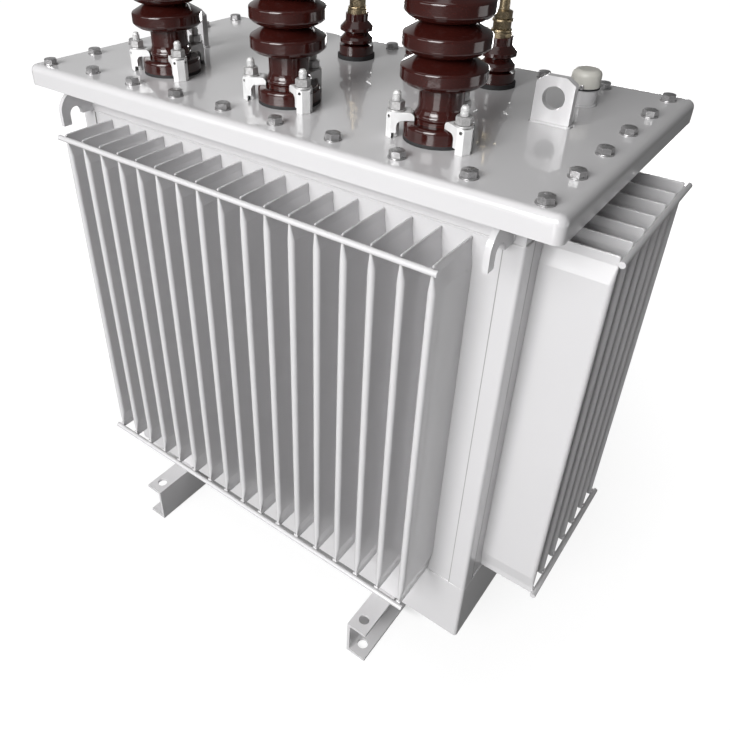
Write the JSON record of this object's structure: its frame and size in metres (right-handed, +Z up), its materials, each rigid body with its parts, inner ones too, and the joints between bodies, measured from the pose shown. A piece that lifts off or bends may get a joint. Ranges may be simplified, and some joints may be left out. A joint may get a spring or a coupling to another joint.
{
  "type": "oil-filled distribution transformer",
  "caption": "Sealed oil transformer: corrugated tank with pinched cooling fins, bolted cover, brown porcelain bushings, lifting lugs, lashing hooks and channel feet.",
  "frame": {"origin": "on the floor under the middle of the tank", "axes": "+X along the tank, -Y the high-voltage front, +Z up"},
  "size_m": [1.0574, 0.6134, 1.23],
  "materials": {
    "tank_paint": "gloss light grey paint",
    "brown_porcelain": "glossy red-brown glaze",
    "black_rubber": "matt",
    "cast_alloy": "bright cast",
    "terminal_brass": "machined",
    "core_steel": "oiled laminations",
    "cream_cap": "gloss cream"
  },
  "bodies": {
    "root": {"back_corrugated_wall": "tank_paint", "back_fin_rods": "tank_paint", "back_left_hook": "tank_paint", "back_right_hook": "tank_paint", "core_and_windings": "core_steel", "cover": "tank_paint", "cover_gasket": "black_rubber", "filler_cap": "cream_cap", "filler_stub": "tank_paint", "front_corrugated_wall": "tank_paint", "front_fin_rods": "tank_paint", "front_left_hook": "tank_paint", "front_right_hook": "tank_paint", "hv_bushing_left": "brown_porcelain", "hv_bushing_middle": "brown_porcelain", "hv_bushing_right": "brown_porcelain", "hv_claws_left": "cast_alloy", "hv_claws_middle": "cast_alloy", "hv_claws_right": "cast_alloy", "hv_gaskets": "black_rubber", "hv_terminal_left": "terminal_brass", "hv_terminal_middle": "terminal_brass", "hv_terminal_right": "terminal_brass", "left_corner_posts": "tank_paint", "left_corrugated_wall": "tank_paint", "left_fin_rods": "tank_paint", "left_foot": "tank_paint", "left_lifting_lug": "tank_paint", "lv_bushing_1": "brown_porcelain", "lv_bushing_2": "brown_porcelain", "lv_bushing_3": "brown_porcelain", "lv_bushing_4": "brown_porcelain", "lv_gaskets": "black_rubber", "lv_terminal_1": "terminal_brass", "lv_terminal_2": "terminal_brass", "lv_terminal_3": "terminal_brass", "lv_terminal_4": "terminal_brass", "right_corner_posts": "tank_paint", "right_corrugated_wall": "tank_paint", "right_fin_rods": "tank_paint", "right_foot": "tank_paint", "right_lifting_lug": "tank_paint", "tank_floor": "tank_paint", "tank_lower_band": "tank_paint", "tank_rim": "tank_paint"}
  },
  "joints": []
}
